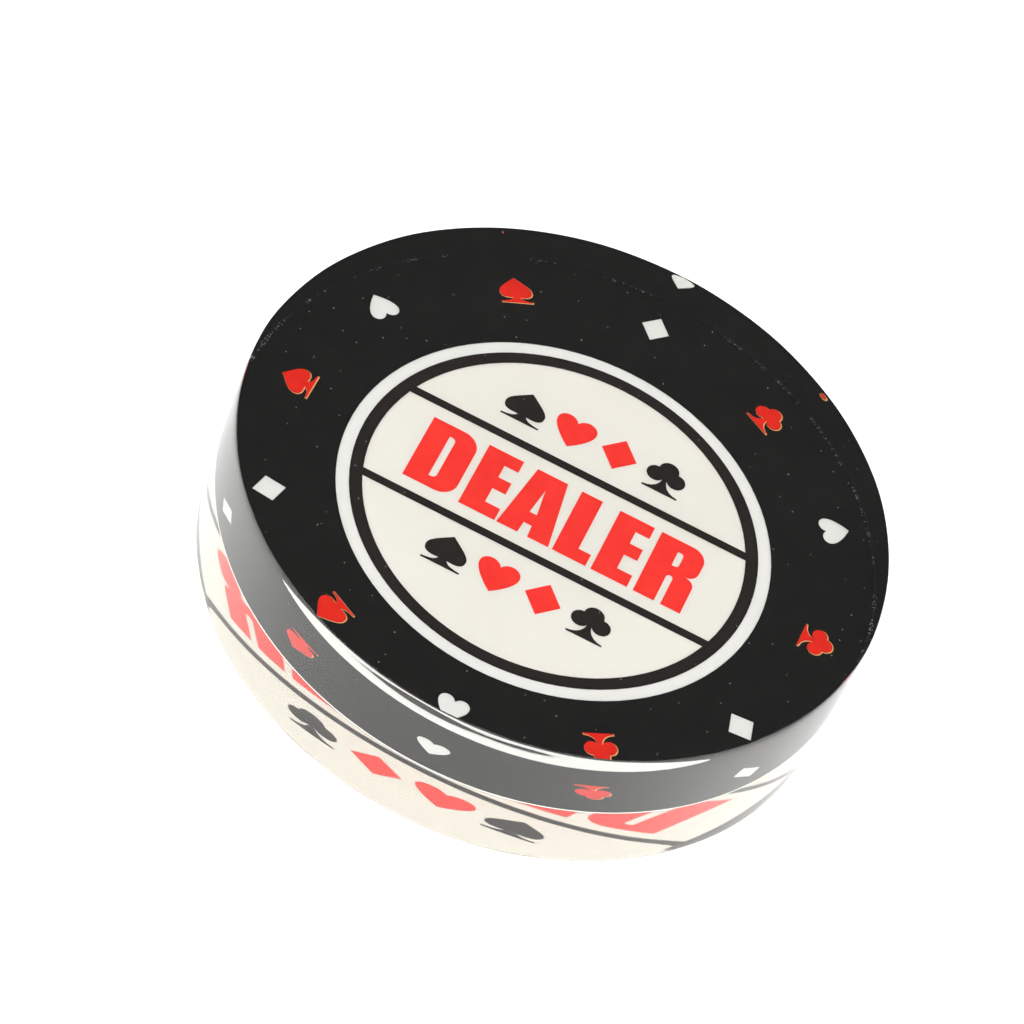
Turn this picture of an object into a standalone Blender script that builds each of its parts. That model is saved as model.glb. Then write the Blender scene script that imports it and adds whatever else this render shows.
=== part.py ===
"""Dealer button for card games: a clear puck that reads the same from both sides.

Two clear acrylic discs are bonded face to face over a white core sheet. Each face of the sheet
carries the same print as thin inlays: a black border ring with twelve suit windows, a black ring
with two bars, the word that names the object in plain block capitals, and two rows of suit marks.

Frame: metres, +Z up, origin at the centre of the underside. The word runs along +X.
"""

import math

import bmesh
import bpy
from mathutils import Vector
from mathutils.geometry import tessellate_polygon

MM = 0.001

# The puck: 3 in across and 3/4 in thick
DIAMETER = 76.2 * MM
THICKNESS = 19.05 * MM
EDGE_BREAK = 0.25 * MM
EDGE_STEPS = 3
DISC_SEGMENTS = 128

# The layers between the discs, from the middle out
SHEET_THICKNESS = 0.12 * MM
INLAY_THICKNESS = 0.05 * MM
BOND_LINE = 0.03 * MM
SHEET_MARGIN = 0.01 * MM

# The rings of the print
WHITE_RING_OUTER = 25.50 * MM
BLACK_RING_OUTER = 23.96 * MM
BLACK_RING_INNER = 22.44 * MM
RING_SEGMENTS = 96

# The band across the middle and its word
BAR_OFFSET = 7.33 * MM
BAR_WIDTH = 1.09 * MM
CAP_HEIGHT = 9.96 * MM
STEM = 2.62 * MM
ARM = 1.87 * MM
WORD = "DEALER"
LETTER_WIDTHS = {"D": 6.07 * MM, "E": 4.53 * MM, "A": 6.47 * MM, "L": 4.18 * MM, "R": 5.87 * MM}
LETTER_GAPS = {"DE": 0.92 * MM, "EA": 0.25 * MM, "AL": 0.46 * MM, "LE": 0.64 * MM, "ER": 0.75 * MM}

# The suit marks: two rows of four in the middle, twelve round the border, where they lean in degrees
SUIT_WIDTH = 4.98 * MM
ROW_OFFSET = 12.51 * MM
ROW_SPOTS = {"spade": -8.53 * MM, "heart": -2.39 * MM, "diamond": 3.35 * MM, "club": 9.27 * MM}
BORDER_SCALES = {"spade": 0.79, "heart": 0.74, "diamond": 0.80, "club": 0.79}
BORDER_RADII = (33.5 * MM, 32.86 * MM)
BORDER_RADII_FOOTED = (32.64 * MM, 32.6 * MM)
BORDER_LEAN = 7.0
WINDOW_CLEARANCE = 0.08 * MM

# Where each part of the print landed, off the puck's axis
RINGS_SHIFT = (0.36 * MM, -0.56 * MM)
BARS_SHIFT_Y = -0.15 * MM
WORD_SHIFT = (0.31 * MM, -0.18 * MM)
ROWS_SHIFT = (0.07 * MM, 0.0)
BORDER_MARKS_SHIFT = (0.22 * MM, 0.34 * MM)
RED_SHIFT = (-0.07 * MM, 0.03 * MM)

# How the whole lower print lies under the upper one: its shift, and its turn about Z in degrees
BOTTOM_SHIFT = (-0.03 * MM, -0.22 * MM)
BOTTOM_TURN = -0.85

RADIUS = DIAMETER / 2
MID = THICKNESS / 2
SHEET_TOP = SHEET_THICKNESS / 2
INLAY_BASE = SHEET_TOP + BOND_LINE
INLAY_TOP = INLAY_BASE + INLAY_THICKNESS
DISC_BASE = INLAY_TOP + BOND_LINE
SHEET_RADIUS = RADIUS - SHEET_MARGIN

# Suit of each border mark, anticlockwise from +X. Hearts and diamonds are windows only.
BORDER_SUITS = ("club", "heart", "club", "diamond", "spade", "heart",
                "spade", "diamond", "spade", "heart", "club", "diamond")
FOOTED_SUITS = ("spade", "club")

# How far single border marks stray from their even places, by their place in that order
STRAY_MARKS = {1: (0.0, 0.3 * MM), 2: (0.2 * MM, -0.1 * MM), 3: (0.1 * MM, 0.05 * MM),
               5: (0.2 * MM, -0.2 * MM), 7: (-0.2 * MM, 0.05 * MM), 8: (-0.25 * MM, 0.1 * MM),
               10: (0.0, -0.1 * MM)}


def make_material(name, color, roughness, transmission=0.0, ior=1.5):
    """A Principled material with one plain colour."""
    material = bpy.data.materials.new(name)
    material.use_nodes = True
    shader = material.node_tree.nodes["Principled BSDF"]
    shader.inputs["Base Color"].default_value = (*color, 1.0)
    shader.inputs["Roughness"].default_value = roughness
    shader.inputs["Metallic"].default_value = 0.0
    shader.inputs["Transmission Weight"].default_value = transmission
    shader.inputs["IOR"].default_value = ior
    return material


# ---- Outlines: lists of (x, y), anticlockwise, in metres ----

def arc(center, radius, start, end, steps):
    """Points on a circle from angle start to angle end, in degrees, both ends included."""
    points = []
    for i in range(steps + 1):
        angle = math.radians(start + (end - start) * i / steps)
        points.append((center[0] + radius * math.cos(angle), center[1] + radius * math.sin(angle)))
    return points


def circle(radius, center=(0.0, 0.0), steps=RING_SEGMENTS):
    """A full circle, its first point not repeated."""
    return arc(center, radius, 0, 360, steps)[:-1]


def bezier(p0, p1, p2, p3, steps):
    """Points on a cubic curve from p0 to p3, the last one left out."""
    points = []
    for i in range(steps):
        t = i / steps
        u = 1 - t
        weights = (u ** 3, 3 * u * u * t, 3 * u * t * t, t ** 3)
        x = sum(w * p[0] for w, p in zip(weights, (p0, p1, p2, p3)))
        y = sum(w * p[1] for w, p in zip(weights, (p0, p1, p2, p3)))
        points.append((x, y))
    return points


def mirrored(right):
    """A closed outline from its right half, which runs upward."""
    left = [(-x, y) for x, y in reversed(right) if x > 1e-9]
    return right + left


def moved(outline, dx=0.0, dy=0.0, angle=0.0, scale=1.0):
    """The outline scaled, turned by angle in radians, then shifted."""
    c, s = math.cos(angle) * scale, math.sin(angle) * scale
    return [(x * c - y * s + dx, x * s + y * c + dy) for x, y in outline]


# ---- Suit marks, in units of half the suit width, centred on their own box ----

def heart_outline():
    tip, notch, side = (0.0, -1.0), (0.0, 0.58), (1.0, 0.39)
    right = bezier(tip, (0.42, -0.66), (0.99, -0.06), side, 7)
    right += bezier(side, (1.02, 0.93), (0.28, 1.11), notch, 8)
    right.append(notch)
    return mirrored(right)


def diamond_outline():
    half_width, half_height = 0.885, 0.99
    return [(half_width, 0.0), (0.0, half_height), (-half_width, 0.0), (0.0, -half_height)]


def foot_outline(half_width, base, neck):
    """Right half of the flared foot, from the axis along its flat base and up to the neck."""
    toe, reach, rise = 0.08, 0.50, 0.60
    tip = (half_width, base + toe)
    low_pull = (half_width * reach, base + toe * 1.5)
    neck_pull = (neck[0] * 1.4, neck[1] + (tip[1] - neck[1]) * rise)
    return [(0.0, base), (half_width, base)] + bezier(tip, low_pull, neck_pull, neck, 5)


def spade_outline():
    neck, side, tip = (0.20, -0.54), (1.0, -0.13), (0.0, 0.96)
    right = foot_outline(0.96, -0.95, neck)
    right += bezier(neck, (0.42, -0.56), (1.0, -0.66), side, 7)
    right += bezier(side, (1.0, 0.22), (0.60, 0.46), tip, 6)
    right.append(tip)
    return mirrored(right)


def club_outline():
    """Three lobes on a stem and a flared foot. The side lobe meets the top lobe where they cross."""
    side_center, side_radius = Vector((0.51, 0.04)), 0.455
    top_center, top_radius = Vector((0.0, 0.49)), 0.49
    neck = Vector((0.11, -0.17))
    gap = side_center - top_center
    distance = gap.length
    along = (top_radius ** 2 - side_radius ** 2 + distance ** 2) / (2 * distance)
    across = math.sqrt(top_radius ** 2 - along ** 2)
    unit = gap / distance
    cross = top_center + unit * along + Vector((-unit.y, unit.x)) * across
    leave = math.degrees(math.atan2(*(neck - side_center).yx))
    side_end = math.degrees(math.atan2(*(cross - side_center).yx))
    top_start = math.degrees(math.atan2(*(cross - top_center).yx))
    right = foot_outline(0.89, -0.98, tuple(neck))
    right += arc(side_center, side_radius, leave, side_end, 10)[:-1]
    right += arc(top_center, top_radius, top_start, 90, 6)[:-1]
    right.append((0.0, top_center.y + top_radius))
    return mirrored(right)


SUITS = {"heart": heart_outline, "diamond": diamond_outline,
         "spade": spade_outline, "club": club_outline}


def border_outline(suit, index, clearance=0.0):
    """One border mark in place, pointing outward, grown by clearance on every side.

    The hearts and diamonds off the vertical axis lean towards it.
    """
    turn = 2 * math.pi * index / len(BORDER_SUITS)
    footed = suit in FOOTED_SUITS
    across, along = BORDER_RADII_FOOTED if footed else BORDER_RADII
    facing = turn + (math.pi / 2 if suit == "heart" else -math.pi / 2)
    if not footed:
        facing += math.radians(BORDER_LEAN) * math.sin(2 * turn)
    outline = moved(SUITS[suit](), scale=BORDER_SCALES[suit] * SUIT_WIDTH / 2)
    if clearance:
        outline = grown(outline, clearance)
    stray = STRAY_MARKS.get(index, (0.0, 0.0))
    return moved(outline, BORDER_MARKS_SHIFT[0] + stray[0] + across * math.cos(turn),
                 BORDER_MARKS_SHIFT[1] + stray[1] + along * math.sin(turn), facing)


def grown(outline, distance):
    """The outline with each corner pushed out along the mean of its two sides' normals."""
    result = []
    limit = 1.5
    count = len(outline)
    for i, point in enumerate(outline):
        before, here, after = Vector(outline[i - 1]), Vector(point), Vector(outline[(i + 1) % count])
        first, second = (here - before).normalized(), (after - here).normalized()
        normal = Vector((first.y + second.y, -first.x - second.x))
        normal.normalize()
        stretch = min(limit, 1 / max(0.1, normal.dot(Vector((first.y, -first.x)))))
        result.append(tuple(here + normal * distance * stretch))
    return result


# ---- Block capitals, from their lower left corner: (outline, [holes]) ----

def letter_d(width):
    corner, slot_width, slot_margin, round_end = 2.2 * MM, 0.84 * MM, 1.62 * MM, 0.55 * MM
    outline = [(0.0, 0.0)]
    outline += arc((width - corner, corner), corner, -90, 0, 8)
    outline += arc((width - corner, CAP_HEIGHT - corner), corner, 0, 90, 8)
    outline += [(0.0, CAP_HEIGHT)]
    low, high = slot_margin, CAP_HEIGHT - slot_margin
    slot = [(STEM, low)]
    slot += arc((STEM + slot_width - round_end, low + round_end), round_end, -90, 0, 4)
    slot += arc((STEM + slot_width - round_end, high - round_end), round_end, 0, 90, 4)
    slot += [(STEM, high)]
    return outline, [slot]


def letter_e(width):
    top_reach, middle_reach, middle_rise = width - 0.17 * MM, width - 0.26 * MM, 0.18 * MM
    middle_low = CAP_HEIGHT / 2 + middle_rise - ARM / 2
    middle_high = middle_low + ARM
    return [(0.0, 0.0), (width, 0.0), (width, ARM), (STEM, ARM), (STEM, middle_low),
            (middle_reach, middle_low), (middle_reach, middle_high), (STEM, middle_high),
            (STEM, CAP_HEIGHT - ARM), (top_reach, CAP_HEIGHT - ARM), (top_reach, CAP_HEIGHT),
            (0.0, CAP_HEIGHT)], []


def letter_l(width):
    return [(0.0, 0.0), (width, 0.0), (width, ARM), (STEM, ARM), (STEM, CAP_HEIGHT),
            (0.0, CAP_HEIGHT)], []


def letter_a(width):
    top_half, bar_low, bar_high, peak = 1.90 * MM, 1.78 * MM, 3.54 * MM, 7.5 * MM
    gap_foot, gap_bar, hole_half = 0.62 * MM, 0.50 * MM, 0.46 * MM
    x = width / 2
    outline = [(0.0, 0.0), (x - gap_foot, 0.0), (x - gap_bar, bar_low), (x + gap_bar, bar_low),
               (x + gap_foot, 0.0), (width, 0.0), (x + top_half, CAP_HEIGHT),
               (x - top_half, CAP_HEIGHT)]
    hole = [(x - hole_half, bar_high), (x + hole_half, bar_high), (x, peak)]
    return outline, [hole]


def letter_r(width):
    corner, leg_gap = 1.9 * MM, 0.80 * MM
    notch = (width - 1.19 * MM, 5.25 * MM)
    shoulder, bowl_side = 4.0 * MM, 6.9 * MM
    right_leg = STEM + leg_gap
    leg_gap_top = 4.15 * MM
    outline = [(0.0, 0.0), (STEM, 0.0)]
    outline += arc((STEM + leg_gap / 2, leg_gap_top), leg_gap / 2, 180, 0, 5)
    outline += [(right_leg, 0.0), (width, 0.0)]
    outline += bezier((width, shoulder), (width, 4.75 * MM), (width - 0.40 * MM, 5.12 * MM), notch, 5)
    outline += bezier(notch, (width - 0.35 * MM, 5.45 * MM), (width, 6.0 * MM), (width, bowl_side), 6)
    outline += arc((width - corner, CAP_HEIGHT - corner), corner, 0, 90, 7)
    outline += [(0.0, CAP_HEIGHT)]
    low, high, end = 6.05 * MM, 8.3 * MM, 0.38 * MM
    hole = [(STEM, low)]
    hole += arc((STEM + leg_gap - end, low + end), end, -90, 0, 4)
    hole += arc((STEM + leg_gap - end, high - end), end, 0, 90, 4)
    hole += [(STEM, high)]
    return outline, [hole]


LETTERS = {"D": letter_d, "E": letter_e, "A": letter_a, "L": letter_l, "R": letter_r}


# ---- Solids ----

def prism_mesh(name, outline, holes, low, high, material):
    """A closed flat solid with the outline's shape between two heights."""
    loops = [outline] + holes
    flat = [point for loop in loops for point in loop]
    triangles = tessellate_polygon([[Vector((x, y, 0.0)) for x, y in loop] for loop in loops])
    bm = bmesh.new()
    bottom = [bm.verts.new((x, y, low)) for x, y in flat]
    top = [bm.verts.new((x, y, high)) for x, y in flat]
    for a, b, c in triangles:
        bm.faces.new((bottom[a], bottom[b], bottom[c]))
        bm.faces.new((top[a], top[c], top[b]))
    first = 0
    for loop in loops:
        count = len(loop)
        for i in range(count):
            a, b = first + i, first + (i + 1) % count
            bm.faces.new((bottom[a], bottom[b], top[b], top[a]))
        first += count
    bmesh.ops.recalc_face_normals(bm, faces=bm.faces)
    return finish_mesh(name, bm, material)


def disc_mesh(name, radius, low, high, edge_break, material):
    """A disc whose upper edge is broken by a small round."""
    bm = bmesh.new()
    bmesh.ops.create_cone(bm, cap_ends=True, segments=DISC_SEGMENTS, radius1=radius,
                          radius2=radius, depth=high - low)
    bmesh.ops.translate(bm, verts=bm.verts, vec=(0.0, 0.0, (low + high) / 2))
    if edge_break:
        middle = (low + high) / 2
        rim = [e for e in bm.edges if all(v.co.z > middle for v in e.verts)]
        bmesh.ops.bevel(bm, geom=rim, offset=edge_break, segments=EDGE_STEPS, profile=0.5,
                        affect="EDGES")
    return finish_mesh(name, bm, material)


def finish_mesh(name, bm, material):
    """Turns the bmesh into a mesh with smooth round sides and its material."""
    mesh = bpy.data.meshes.new(name)
    bm.to_mesh(mesh)
    bm.free()
    mesh.materials.append(material)
    mesh.shade_smooth()
    mesh.set_sharp_from_angle(angle=math.radians(35))
    return mesh


def place(name, mesh, parent, upside_down=False, turn=0.0, shift=(0.0, 0.0)):
    """An object at mid-height. It can be turned over about the Y axis, then turned about Z and shifted."""
    obj = bpy.data.objects.new(name, mesh)
    obj.rotation_euler = (0.0, math.pi if upside_down else 0.0, turn)
    obj.location = (*shift, 0.0)
    obj.parent = parent
    bpy.context.scene.collection.objects.link(obj)
    return obj


def inlay(name, outline, holes, material):
    return prism_mesh(name, outline, holes, INLAY_BASE, INLAY_TOP, material)


# ---- The print: {piece name: mesh} for one face ----

def border_ring(black, axis=(0.0, 0.0)):
    """The black annulus, with a window for each of its twelve marks. The puck's axis passes through axis."""
    inner = moved(circle(WHITE_RING_OUTER), *RINGS_SHIFT)
    windows = []
    for index, suit in enumerate(BORDER_SUITS):
        clearance = WINDOW_CLEARANCE if suit in FOOTED_SUITS else 0.0
        windows.append(border_outline(suit, index, clearance))
    outer = circle(SHEET_RADIUS, axis, DISC_SEGMENTS)
    return inlay("border_ring", outer, [inner] + windows, black)


def chord_window(low, high):
    """The part of the black ring's inside between two heights over the ring's own centre."""
    r = BLACK_RING_INNER
    start = math.degrees(math.asin(max(-1.0, low / r)))
    end = math.degrees(math.asin(min(1.0, high / r)))
    steps = max(4, round((end - start) / 360 * RING_SEGMENTS))
    return mirrored(arc((0.0, 0.0), r, start, end, steps))


def band_ring(black):
    """The black ring and the two bars, which are one printed shape."""
    lift = BARS_SHIFT_Y - RINGS_SHIFT[1]
    inside, outside = BAR_OFFSET - BAR_WIDTH / 2, BAR_OFFSET + BAR_WIDTH / 2
    windows = [chord_window(lift + outside, BLACK_RING_INNER),
               chord_window(lift - inside, lift + inside),
               chord_window(-BLACK_RING_INNER, lift - outside)]
    windows = [moved(w, *RINGS_SHIFT) for w in windows]
    outer = moved(circle(BLACK_RING_OUTER), *RINGS_SHIFT)
    return inlay("band_ring", outer, windows, black)


def word_letters(red):
    """The red capitals, set out from left to right and centred."""
    gaps = [LETTER_GAPS[a + b] for a, b in zip(WORD, WORD[1:])] + [0.0]
    length = sum(LETTER_WIDTHS[c] for c in WORD) + sum(gaps)
    x, y = WORD_SHIFT[0] - length / 2, WORD_SHIFT[1] - CAP_HEIGHT / 2
    meshes = {}
    for index, (letter, gap) in enumerate(zip(WORD, gaps)):
        outline, holes = LETTERS[letter](LETTER_WIDTHS[letter])
        name = f"letter_{index + 1}_{letter.lower()}"
        meshes[name] = inlay(name, moved(outline, x, y), [moved(h, x, y) for h in holes], red)
        x += LETTER_WIDTHS[letter] + gap
    return meshes


def suit_rows(red, black):
    """The row of four marks above the band and the one below it, all upright."""
    meshes = {}
    for row, height in (("upper", ROW_OFFSET), ("lower", -ROW_OFFSET)):
        for suit, x in ROW_SPOTS.items():
            outline = moved(SUITS[suit](), x + ROWS_SHIFT[0], height + ROWS_SHIFT[1],
                            scale=SUIT_WIDTH / 2)
            name = f"{row}_{suit}"
            meshes[name] = inlay(name, outline, [], black if suit in FOOTED_SUITS else red)
    return meshes


def border_marks(red):
    """The red spades and clubs in their windows, a little off centre in them."""
    meshes = {}
    for index, suit in enumerate(BORDER_SUITS):
        if suit in FOOTED_SUITS:
            name = f"border_{suit}_{index * 360 // len(BORDER_SUITS):03d}"
            outline = moved(border_outline(suit, index), *RED_SHIFT)
            meshes[name] = inlay(name, outline, [], red)
    return meshes


def build():
    for obj in list(bpy.data.objects):
        bpy.data.objects.remove(obj, do_unlink=True)

    clear = make_material("clear_acrylic", (0.97, 0.98, 0.98), 0.03, transmission=1.0, ior=1.49)
    white = make_material("white_sheet", (0.88, 0.87, 0.82), 0.5)
    black = make_material("black_ink", (0.012, 0.012, 0.012), 0.4)
    red = make_material("red_ink", (0.90, 0.035, 0.02), 0.4)

    puck = bpy.data.objects.new("puck", None)
    puck.location = (0.0, 0.0, MID)
    bpy.context.scene.collection.objects.link(puck)

    disc = disc_mesh("crystal", RADIUS, DISC_BASE, MID, EDGE_BREAK, clear)
    place("upper_crystal", disc, puck)
    place("lower_crystal", disc, puck, upside_down=True)
    place("core_sheet", disc_mesh("core_sheet", SHEET_RADIUS, -SHEET_TOP, SHEET_TOP, 0.0, white), puck)

    print_meshes = {"border_ring": border_ring(black), "band_ring": band_ring(black)}
    print_meshes.update(word_letters(red))
    print_meshes.update(suit_rows(red, black))
    print_meshes.update(border_marks(red))
    for name, mesh in print_meshes.items():
        place(f"top_{name}", mesh, puck)

    turn = math.radians(BOTTOM_TURN)
    x, y = moved([BOTTOM_SHIFT], angle=-turn)[0]
    print_meshes["border_ring"] = border_ring(black, axis=(x, -y))
    for name, mesh in print_meshes.items():
        place(f"bottom_{name}", mesh, puck, upside_down=True, turn=turn, shift=BOTTOM_SHIFT)


build()
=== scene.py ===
"""Looks for the dealer button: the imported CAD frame, finer crystals and sheet, inks, studio, camera."""

import math

import bmesh
import bpy
from mathutils import Matrix, Vector


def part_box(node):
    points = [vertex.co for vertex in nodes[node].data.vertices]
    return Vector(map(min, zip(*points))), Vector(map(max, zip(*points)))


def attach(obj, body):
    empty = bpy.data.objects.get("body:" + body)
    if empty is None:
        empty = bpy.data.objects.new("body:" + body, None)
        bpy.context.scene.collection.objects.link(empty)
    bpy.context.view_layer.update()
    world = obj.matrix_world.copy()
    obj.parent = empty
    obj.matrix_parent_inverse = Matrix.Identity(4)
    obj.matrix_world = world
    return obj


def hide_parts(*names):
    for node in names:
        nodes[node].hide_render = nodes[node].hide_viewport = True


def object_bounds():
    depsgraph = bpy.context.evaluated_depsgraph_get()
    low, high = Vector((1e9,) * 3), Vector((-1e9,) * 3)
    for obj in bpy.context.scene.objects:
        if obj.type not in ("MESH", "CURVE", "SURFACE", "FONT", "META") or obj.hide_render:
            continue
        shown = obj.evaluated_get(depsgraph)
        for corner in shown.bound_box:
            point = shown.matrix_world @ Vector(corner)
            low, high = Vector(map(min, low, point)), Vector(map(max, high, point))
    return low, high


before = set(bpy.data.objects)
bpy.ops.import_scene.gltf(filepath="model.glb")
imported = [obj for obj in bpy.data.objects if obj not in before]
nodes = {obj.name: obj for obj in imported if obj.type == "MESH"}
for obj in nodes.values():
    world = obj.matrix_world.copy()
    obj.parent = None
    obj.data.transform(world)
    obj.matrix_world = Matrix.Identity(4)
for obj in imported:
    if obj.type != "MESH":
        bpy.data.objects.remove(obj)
cad_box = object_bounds()

MM = 0.001

# What the CAD says
LOW, HIGH = cad_box
RADIUS = (HIGH.x - LOW.x) / 2
MID = (LOW.z + HIGH.z) / 2
SHEET_LOW, SHEET_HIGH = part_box("core_sheet")
SHEET_HALF = (SHEET_HIGH.z - SHEET_LOW.z) / 2
BAND_LOW, BAND_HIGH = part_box("top_band_ring")
BAND_RADIUS = (BAND_HIGH.x - BAND_LOW.x) / 2

# The print: where its zones change, as distances from the puck's axis, the half width of the track
# that the border's marks stand in, and the pitch of the dot screen
INNER_BLACK_END = BAND_RADIUS + 1.0 * MM
COOL_WHITE_START = BAND_RADIUS - 0.7 * MM
MARK_TRACK = 32.7 * MM
MARK_TRACK_HALF = 3.5 * MM
BUBBLES_START = RADIUS - 0.22 * MM
RIM_INK_START = RADIUS - 0.06 * MM
DOT_PITCH = 0.26 * MM

# The finer solids: a step beside each edge, the seam's bevel, the sheet's inset, and half the gap
# between the crystals
SEGMENTS = 288
SHARP_ANGLE = math.radians(30)
STEP = 0.02 * MM
SEAM_BREAK = 0.006 * MM
SHEET_INSET = 0.002 * MM
BONDED = SHEET_HALF - 0.01 * MM

# The hand-buffed edge: how its lean falls off with depth below the polished face
EDGE_SOFT = 0.09 * MM
EDGE_POWER = 1.2
EDGE_REACH = 2.6 * MM
EDGE_MAX_LEAN = math.radians(24.5)
EDGE_STEPS = 24

# How the edge's softness varies: (waves round the puck, size, phase), then (degrees, spread, size)
UPPER_WAVES = ((1, 0.20, 0.52), (3, 0.08, 2.2), (8, 0.22, -1.47), (20, 0.14, -2.09))
UPPER_SPOTS = ((123, 13, 1.2), (-3, 12, -0.65), (182, 12, -0.65))
LOWER_WAVES = ((3, 0.12, 4.0), (7, 0.25, 0.6))
LOWER_SPOTS = ()

# The floor, and where its painted glow fades: from front to back in Y, and outwards past the puck's rim
FLOOR_HALF = 3.0
FLOOR_GAP = 0.02 * MM
FADE_FRONT, FADE_BACK = -32 * MM, 12 * MM
FADE_MARGIN = 3 * MM


# ---- Node helpers ----

def new_material(name):
    """A material with an empty tree but for its Principled shader and its output."""
    material = bpy.data.materials.new(name)
    material.use_nodes = True
    tree = material.node_tree
    return material, tree, tree.nodes["Principled BSDF"]


def node(tree, kind, values=None, links=None, **settings):
    """A node with settings, plain input values and links into its inputs."""
    made = tree.nodes.new(kind)
    for key, value in settings.items():
        setattr(made, key, value)
    for key, value in (values or {}).items():
        made.inputs[key].default_value = value
    for key, source in (links or {}).items():
        tree.links.new(source, made.inputs[key])
    return made


def position(tree):
    """The surface's position in its object's frame, in metres. Its X and Y are the puck's own."""
    return node(tree, "ShaderNodeTexCoord").outputs["Object"]


def ramp(tree, source, stops):
    """A colour ramp over (position, colour) stops."""
    made = node(tree, "ShaderNodeValToRGB", links={0: source})
    elements = made.color_ramp.elements
    while len(elements) < len(stops):
        elements.new(0.5)
    for element, (place, colour) in zip(elements, stops):
        element.position = place
        element.color = (*colour, 1.0)
    return made.outputs["Color"]


def mix(tree, factor, a, b, blend="MIX"):
    """Colour a mixed with colour b. Each of the three is a socket or a plain value."""
    made = node(tree, "ShaderNodeMix", data_type="RGBA", blend_type=blend)
    for socket, value in ((made.inputs["Factor"], factor), (made.inputs[6], a), (made.inputs[7], b)):
        if isinstance(value, bpy.types.NodeSocket):
            tree.links.new(value, socket)
        elif isinstance(value, tuple):
            socket.default_value = (*value, 1.0)
        else:
            socket.default_value = value
    return made.outputs[2]


def math_node(tree, operation, *values):
    """The result of one sum over sockets or plain values."""
    made = node(tree, "ShaderNodeMath", operation=operation)
    for socket, value in zip(made.inputs, values):
        if isinstance(value, bpy.types.NodeSocket):
            tree.links.new(value, socket)
        else:
            socket.default_value = value
    return made.outputs[0]


def axis_of(tree, vector, axis):
    """One of X, Y and Z of a vector."""
    return node(tree, "ShaderNodeSeparateXYZ", links={0: vector}).outputs[axis]


def eased(tree, source, start, end):
    """0 below start and 1 above end, with a smooth change between them."""
    return node(tree, "ShaderNodeMapRange", {"From Min": start, "From Max": end}, {"Value": source},
                interpolation_type="SMOOTHSTEP").outputs[0]


# ---- Material patterns ----

def from_axis(tree, place):
    """Distance from the puck's axis, in metres."""
    flat = node(tree, "ShaderNodeVectorMath", {1: (1.0, 1.0, 0.0)}, {0: place}, operation="MULTIPLY")
    return node(tree, "ShaderNodeVectorMath", links={0: flat.outputs[0]},
                operation="LENGTH").outputs["Value"]


def noise(tree, place, scale, detail):
    """Cloudy noise, about 0.3 to 0.7."""
    return node(tree, "ShaderNodeTexNoise", {"Scale": scale, "Detail": detail},
                {"Vector": place}).outputs[0]


def on_track(tree, radius):
    """1 in the circular track that the border's marks stand in."""
    off_track = math_node(tree, "ABSOLUTE", math_node(tree, "SUBTRACT", radius, MARK_TRACK))
    return math_node(tree, "LESS_THAN", off_track, MARK_TRACK_HALF)


def specks(tree, place, pitch, size, share):
    """Above 0, up to 1, inside scattered round specks.

    There is one candidate in each cell of the pitch, and a share of them is kept.
    """
    cells = node(tree, "ShaderNodeTexVoronoi", {"Scale": 1 / pitch}, {"Vector": place},
                 voronoi_dimensions="2D")
    near = math_node(tree, "LESS_THAN", cells.outputs["Distance"], size / pitch)
    pick = node(tree, "ShaderNodeSeparateColor", links={0: cells.outputs["Color"]})
    kept = math_node(tree, "GREATER_THAN", pick.outputs[0], 1 - share)
    weight = math_node(tree, "MULTIPLY_ADD", pick.outputs[1], 0.7, 0.3)
    return math_node(tree, "MULTIPLY", math_node(tree, "MULTIPLY", near, kept), weight)


def halftone(tree, place):
    """A printer's dot screen at 45 degrees, from 0 to 1."""
    turned_place = node(tree, "ShaderNodeVectorRotate", {"Angle": math.radians(45)}, {"Vector": place},
                        rotation_type="Z_AXIS").outputs[0]
    waves = [math_node(tree, "SINE", math_node(tree, "MULTIPLY", axis_of(tree, turned_place, axis),
                                               2 * math.pi / DOT_PITCH))
             for axis in ("X", "Y")]
    return math_node(tree, "MULTIPLY_ADD", math_node(tree, "MULTIPLY", *waves), 0.5, 0.5)


# ---- Materials ----

def clear_acrylic():
    """Cast acrylic: water-clear, with the faintest cloudiness."""
    material, tree, shader = new_material("clear_acrylic_polished")
    tint = ramp(tree, noise(tree, position(tree), scale=60.0, detail=2.0),
                [(0.35, (0.982, 0.988, 0.986)), (0.65, (0.990, 0.994, 0.992))])
    tree.links.new(tint, shader.inputs["Base Color"])
    shader.inputs["Transmission Weight"].default_value = 1.0
    shader.inputs["IOR"].default_value = 1.49
    shader.inputs["Roughness"].default_value = 0.0
    return material


def printed(name, colour_of):
    """An ink, matt where it lies against the acrylic. colour_of makes its colour from a tree and a place."""
    material, tree, shader = new_material(name)
    tree.links.new(colour_of(tree, position(tree)), shader.inputs["Base Color"])
    shader.inputs["Roughness"].default_value = 0.6
    shader.inputs["Specular IOR Level"].default_value = 0.0
    return material


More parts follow.
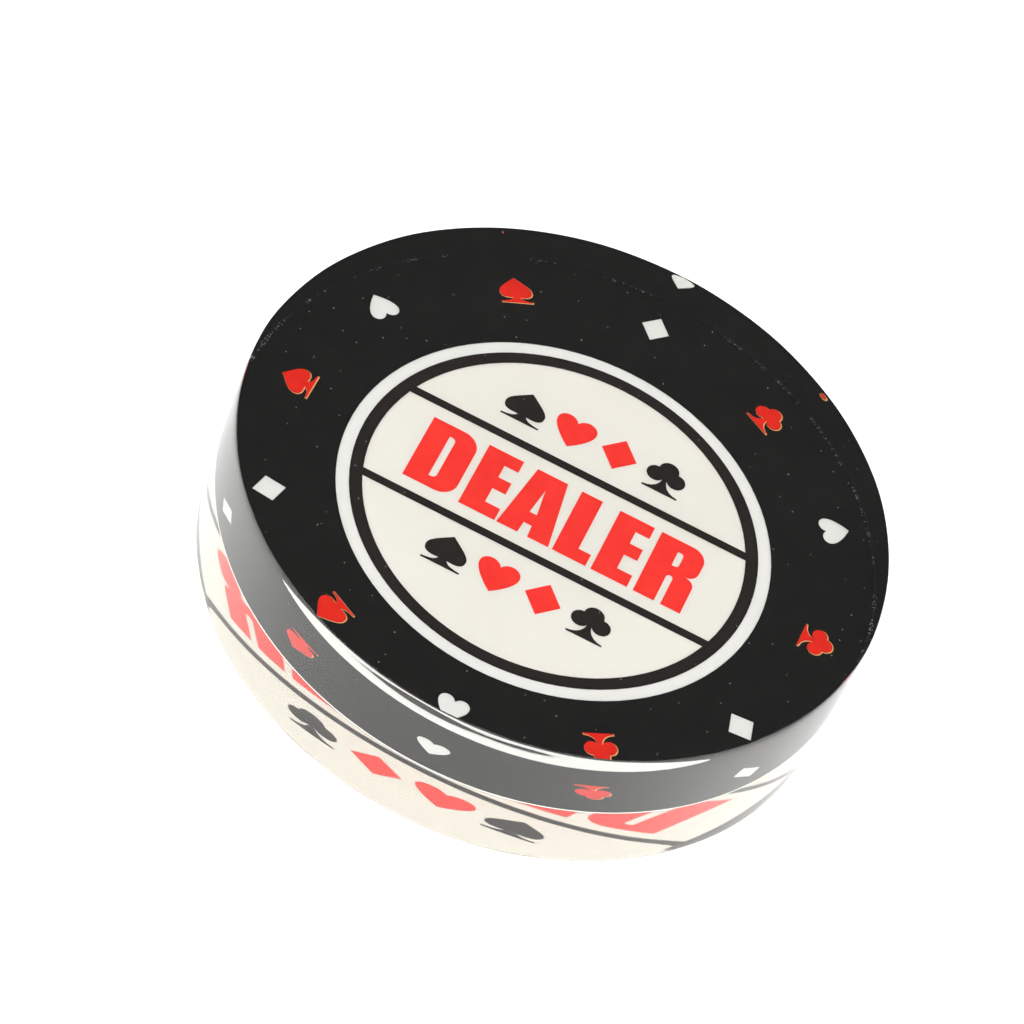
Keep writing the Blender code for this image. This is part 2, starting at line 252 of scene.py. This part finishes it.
def black_colour(tree, place):
    """Near black, browner in the inner ring, with dust, fibres, and a broken line of bubbles at the rim."""
    radius = from_axis(tree, place)
    patches = noise(tree, place, scale=260.0, detail=3.0)
    outer_black = ramp(tree, patches, [(0.30, (0.0060, 0.0060, 0.0055)), (0.70, (0.0092, 0.0088, 0.0082))])
    inner_black = ramp(tree, patches, [(0.30, (0.0150, 0.0118, 0.0105)), (0.70, (0.0190, 0.0150, 0.0135))])
    inside = math_node(tree, "LESS_THAN", radius, INNER_BLACK_END)
    colour = mix(tree, inside, outer_black, inner_black)
    stretched = node(tree, "ShaderNodeMapping", {"Rotation": (0.0, 0.0, 0.9), "Scale": (1.0, 0.22, 1.0)},
                     {"Vector": place}).outputs[0]
    dust = specks(tree, place, pitch=2.2 * MM, size=0.065 * MM, share=0.18)
    fibres = specks(tree, stretched, pitch=2.6 * MM, size=0.055 * MM, share=0.12)
    bubbles = specks(tree, place, pitch=0.24 * MM, size=0.055 * MM, share=0.40)
    at_rim = math_node(tree, "GREATER_THAN", radius, BUBBLES_START)
    in_patch = math_node(tree, "GREATER_THAN", noise(tree, place, scale=110.0, detail=2.0), 0.47)
    line = math_node(tree, "MULTIPLY", bubbles, math_node(tree, "MULTIPLY", at_rim, in_patch))
    for pattern, strength, bright in ((dust, 0.6, (0.70, 0.70, 0.67)), (fibres, 0.5, (0.30, 0.30, 0.28)),
                                      (line, 0.9, (0.45, 0.45, 0.44))):
        colour = mix(tree, math_node(tree, "MULTIPLY", pattern, strength), colour, bright)
    return colour


def red_colour(tree, place):
    """Red with the slight unevenness of one pass of ink, deeper in the border's marks."""
    patches = noise(tree, place, scale=420.0, detail=3.0)
    solid = ramp(tree, patches, [(0.30, (0.93, 0.036, 0.026)), (0.70, (0.99, 0.044, 0.033))])
    deep = ramp(tree, patches, [(0.30, (0.75, 0.018, 0.008)), (0.70, (0.83, 0.024, 0.012))])
    solid = mix(tree, on_track(tree, from_axis(tree, place)), solid, deep)
    dots = math_node(tree, "MULTIPLY", halftone(tree, place), 0.06)
    return mix(tree, dots, solid, (0.80, 0.02, 0.015))


def sheet_colour(tree, place):
    """Warm white in the middle, cooler outside, with a dot screen, and a painted gold fringe of refracted
    light where red marks leave a rim.

    The faces are black along the rim, where the ink runs out to the edge. The cut edge itself is white.
    """
    radius = from_axis(tree, place)
    outer = math_node(tree, "GREATER_THAN", radius, COOL_WHITE_START)
    white = mix(tree, outer, (0.865, 0.85, 0.775), (0.875, 0.885, 0.84))
    shade = ramp(tree, noise(tree, place, scale=90.0, detail=4.0),
                 [(0.3, (0.975, 0.975, 0.97)), (0.7, (1.0, 1.0, 1.0))])
    white = mix(tree, 1.0, white, shade, "MULTIPLY")
    dots = math_node(tree, "MULTIPLY", math_node(tree, "MULTIPLY", halftone(tree, place), outer), 0.10)
    white = mix(tree, dots, white, (0.42, 0.43, 0.44))
    # Painted light: a gold fringe of refracted light, painted onto the sheet where the shifted red marks
    # leave a rim, in every other sector round the puck.
    turn = math_node(tree, "ARCTAN2", axis_of(tree, place, "Y"), axis_of(tree, place, "X"))
    red_places = math_node(tree, "COSINE", math_node(tree, "MULTIPLY", turn, 6.0))
    fringe_sectors = math_node(tree, "GREATER_THAN", red_places, 0.0)
    painted_gold_fringe = math_node(tree, "MULTIPLY", fringe_sectors, on_track(tree, radius))
    white = mix(tree, painted_gold_fringe, white, (1.0, 0.60, 0.24))
    normal = node(tree, "ShaderNodeNewGeometry").outputs["Normal"]
    level = math_node(tree, "GREATER_THAN", math_node(tree, "ABSOLUTE", axis_of(tree, normal, "Z")), 0.5)
    near_rim = math_node(tree, "GREATER_THAN", radius, RIM_INK_START)
    return mix(tree, math_node(tree, "MULTIPLY", level, near_rim), white, (0.008, 0.008, 0.008))


# ---- Pieces ----

def softness(angle, waves, spots):
    """How soft the hand-buffed edge is at an angle round the puck, near 1: long waves, a few odd spots."""
    value = 1.0 + sum(size * math.cos(count * angle + phase) for count, size, phase in waves)
    for middle, spread, size in spots:
        away = math.remainder(angle - math.radians(middle), 2 * math.pi)
        value += size * math.exp(-(away / math.radians(spread)) ** 2)
    return value


def buffed_edge(soft):
    """(inset, depth) down the side wall from the polished face, where the wall leans in.

    The wall's lean falls off as a power of depth, and reaches zero at EDGE_REACH.
    """
    depths = [EDGE_REACH * (i / EDGE_STEPS) ** 3 for i in range(EDGE_STEPS + 1)]
    insets = [0.0]
    for deep, shallow in zip(depths[:0:-1], depths[-2::-1]):
        middle = (deep + shallow) / 2
        lean = (1 + middle / (EDGE_SOFT * soft)) ** -EDGE_POWER * (1 - middle / EDGE_REACH)
        lean = min(EDGE_MAX_LEAN, math.asin(lean))
        insets.append(insets[-1] + (deep - shallow) * math.tan(lean))
    return list(zip(reversed(insets), depths))


def crystal_profile(angle, inner, outer, waves, spots):
    """(radius, height) points of a clear disc, from its bonded face at inner to its polished face at outer.

    A narrow step beside each edge keeps the flat faces' shading flat up to that edge.
    """
    side = 1 if outer > inner else -1
    edge = buffed_edge(softness(angle, waves, spots))
    profile = [(RADIUS - SEAM_BREAK - STEP, inner), (RADIUS - SEAM_BREAK, inner),
               (RADIUS, inner + side * SEAM_BREAK), (RADIUS, inner + side * (SEAM_BREAK + STEP))]
    profile += [(RADIUS - inset, outer - side * depth) for inset, depth in reversed(edge)]
    profile.append((RADIUS - edge[0][0] - STEP, outer))
    return profile


def sheet_profile(_angle):
    """(radius, height) points of the core sheet, which reaches almost to the side wall."""
    edge = RADIUS - SHEET_INSET
    return [(edge - STEP, SHEET_HIGH.z), (edge, SHEET_HIGH.z), (edge, SHEET_LOW.z),
            (edge - STEP, SHEET_LOW.z)]


def turned(name, profile_at, material):
    """A closed solid round the puck's axis, with the profile that profile_at gives at each angle."""
    bm = bmesh.new()
    rings = []
    for i in range(SEGMENTS):
        angle = 2 * math.pi * i / SEGMENTS
        rings.append([bm.verts.new((radius * math.cos(angle), radius * math.sin(angle), z))
                      for radius, z in profile_at(angle)])
    ends = [bm.verts.new((0.0, 0.0, rings[0][i].co.z)) for i in (0, -1)]
    for here, after in zip(rings, rings[1:] + rings[:1]):
        for a, b, c, d in zip(here, after, after[1:], here[1:]):
            bm.faces.new((a, b, c, d))
        bm.faces.new((ends[0], after[0], here[0]))
        bm.faces.new((ends[1], here[-1], after[-1]))
    bmesh.ops.recalc_face_normals(bm, faces=bm.faces)
    mesh = bpy.data.meshes.new(name)
    bm.to_mesh(mesh)
    bm.free()
    mesh.shade_smooth()
    mesh.set_sharp_from_angle(angle=SHARP_ANGLE)
    mesh.materials.append(material)
    made = bpy.data.objects.new(name, mesh)
    bpy.context.scene.collection.objects.link(made)
    return made


def stands_for(piece, node_name):
    """The piece rides with the puck in place of a CAD node, which is hidden."""
    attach(piece, "root")
    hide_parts(node_name)


def finer_pieces():
    """The core sheet and both crystals, finer than the CAD's. Gives the names of the CAD nodes replaced."""
    sheet = turned("core_sheet_fine", sheet_profile, printed("white_print_sheet", sheet_colour))
    stands_for(sheet, "core_sheet")
    acrylic = clear_acrylic()
    crystals = (("upper_crystal", MID + BONDED, HIGH.z, UPPER_WAVES, UPPER_SPOTS),
                ("lower_crystal", MID - BONDED, LOW.z, LOWER_WAVES, LOWER_SPOTS))
    for name, *shape in crystals:
        crystal = turned(name + "_fine", lambda angle: crystal_profile(angle, *shape), acrylic)
        stands_for(crystal, name)
    return {"core_sheet", "upper_crystal", "lower_crystal"}


def ink_the_print(replaced):
    """The rings and the rows' spades and clubs are black, and the rest of the print is red."""
    black = printed("black_print_ink", black_colour)
    red = printed("red_print_ink", red_colour)
    for name, cad_node in nodes.items():
        if name in replaced:
            continue
        in_row = "upper_" in name or "lower_" in name
        is_black = "ring" in name or (in_row and ("spade" in name or "club" in name))
        for slot in cad_node.material_slots:
            slot.material = black if is_black else red


# ---- Floor, light and camera ----

def ground():
    """A pale floor with painted light: its emission is a pool of glow under the puck and in front of it,
    where a lit table would be bright, and less behind.
    """
    mesh = bpy.data.meshes.new("floor")
    corners = [(x * FLOOR_HALF, y * FLOOR_HALF, 0) for x, y in ((-1, -1), (1, -1), (1, 1), (-1, 1))]
    mesh.from_pydata(corners, [], [(0, 1, 2, 3)])
    made = bpy.data.objects.new("floor", mesh)
    made.location.z = LOW.z - FLOOR_GAP
    bpy.context.scene.collection.objects.link(made)
    material, tree, shader = new_material("pale_floor_painted_glow")
    shader.inputs["Base Color"].default_value = (0.85, 0.85, 0.85, 1.0)
    shader.inputs["Roughness"].default_value = 1.0
    shader.inputs["Specular IOR Level"].default_value = 0.0
    place = position(tree)
    # Painted light: the emission is bright under the puck and in front of it and dim behind, a pool of light
    # painted on the floor.
    behind = eased(tree, axis_of(tree, place, "Y"), FADE_FRONT, FADE_BACK)
    beside = eased(tree, from_axis(tree, place), RADIUS - FADE_MARGIN, RADIUS + FADE_MARGIN)
    painted_glow = mix(tree, math_node(tree, "MULTIPLY", behind, beside), (1.27, 1.26, 1.19), (0.12, 0.12, 0.12))
    tree.links.new(painted_glow, shader.inputs["Emission Color"])
    shader.inputs["Emission Strength"].default_value = 1.0
    mesh.materials.append(material)


def studio():
    """A white room with a dim band half way up, which keeps the black print black from the camera."""
    world = bpy.data.worlds.new("studio")
    bpy.context.scene.world = world
    world.use_nodes = True
    tree = world.node_tree
    background = tree.nodes["Background"]
    direction = node(tree, "ShaderNodeTexCoord").outputs["Generated"]
    angle = math_node(tree, "ARCSINE", axis_of(tree, direction, "Z"))
    share = math_node(tree, "DIVIDE", angle, math.pi / 2)
    stops = [(0.0, 0.65), (0.40, 0.65), (0.46, 0.07), (0.62, 0.07), (0.70, 0.97), (1.0, 0.97)]
    colour = ramp(tree, share, [(place, (value, value, value)) for place, value in stops])
    tree.links.new(colour, background.inputs["Color"])
    background.inputs["Strength"].default_value = 3.3


def camera():
    """The view: lens, distance, elevation, turn, roll, and the shift that places the puck in the frame."""
    lens_mm, distance = 173.43281, 563.63 * MM
    elevation, turn, roll = (math.radians(angle) for angle in (47.838653, 2.213, 25.172757))
    seat = Matrix.Rotation(turn, 3, "Z") @ Vector((0.0, -distance * math.cos(elevation),
                                                   distance * math.sin(elevation)))
    forward = -seat.normalized()
    right = forward.cross(Vector((0, 0, 1))).normalized()
    up = right.cross(forward)
    right, up = (math.cos(roll) * right + math.sin(roll) * up,
                 -math.sin(roll) * right + math.cos(roll) * up)
    data = bpy.data.cameras.new("camera")
    data.sensor_width = 36.0
    data.lens = lens_mm
    data.clip_start = 0.01
    data.shift_x = -0.00691895
    data.shift_y = 0.07363086
    made = bpy.data.objects.new("camera", data)
    bpy.context.scene.collection.objects.link(made)
    made.matrix_world = Matrix.Translation(seat) @ Matrix((right, up, -forward)).transposed().to_4x4()
    bpy.context.scene.camera = made


ink_the_print(finer_pieces())
ground()
studio()
camera()
bpy.context.scene.view_settings.view_transform = "Standard"
